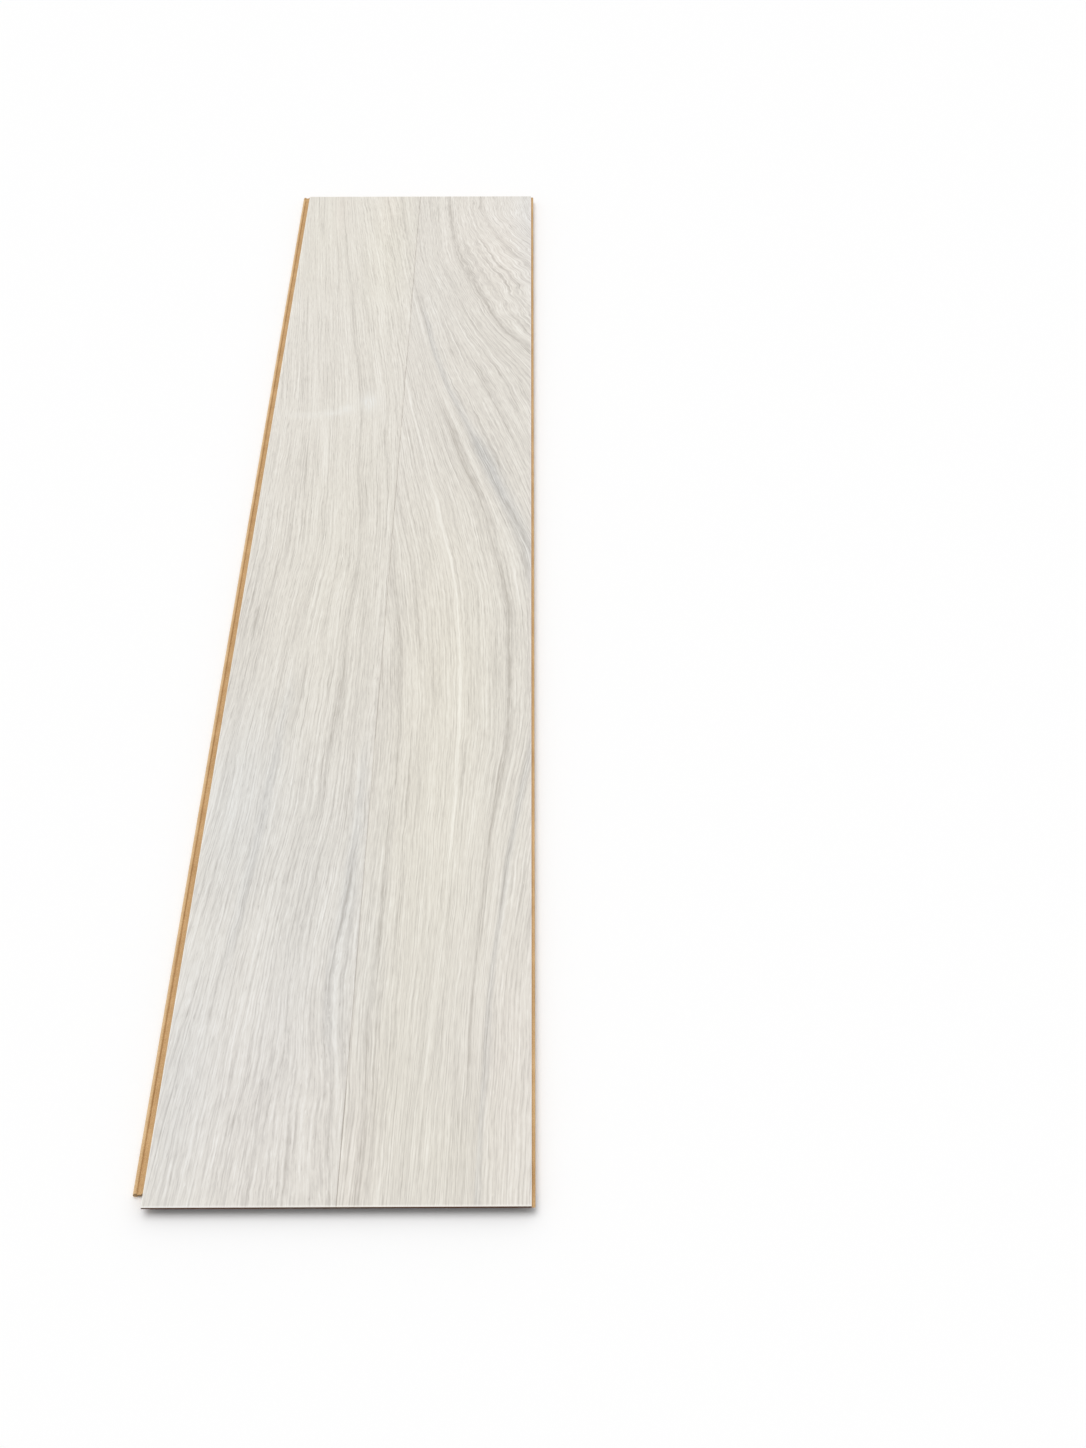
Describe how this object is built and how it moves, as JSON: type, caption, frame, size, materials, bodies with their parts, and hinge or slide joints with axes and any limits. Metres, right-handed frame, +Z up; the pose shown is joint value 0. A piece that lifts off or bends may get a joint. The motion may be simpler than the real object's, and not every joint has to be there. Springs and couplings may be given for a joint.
{
  "type": "click laminate floorboard",
  "caption": "Wide flat laminate floorboard with a pale two-strip wood-look face on a brown fibreboard core milled with tongue, groove and locking lips for floating floors.",
  "frame": {"origin": "on the underside, below the middle of the walking face", "axes": "+Z up out of the walking face, +Y along the board from the drop-in end to the end lip, +X across from the long groove to the long tongue"},
  "size_m": [0.2561, 1.2982, 0.008],
  "materials": {
    "fibreboard": "milled high-density fibreboard, matt tan",
    "wood_print": "matt pressed melamine with a white-washed oak print"
  },
  "bodies": {
    "root": {"fibreboard_core": "fibreboard", "printed_face": "wood_print"}
  },
  "joints": []
}
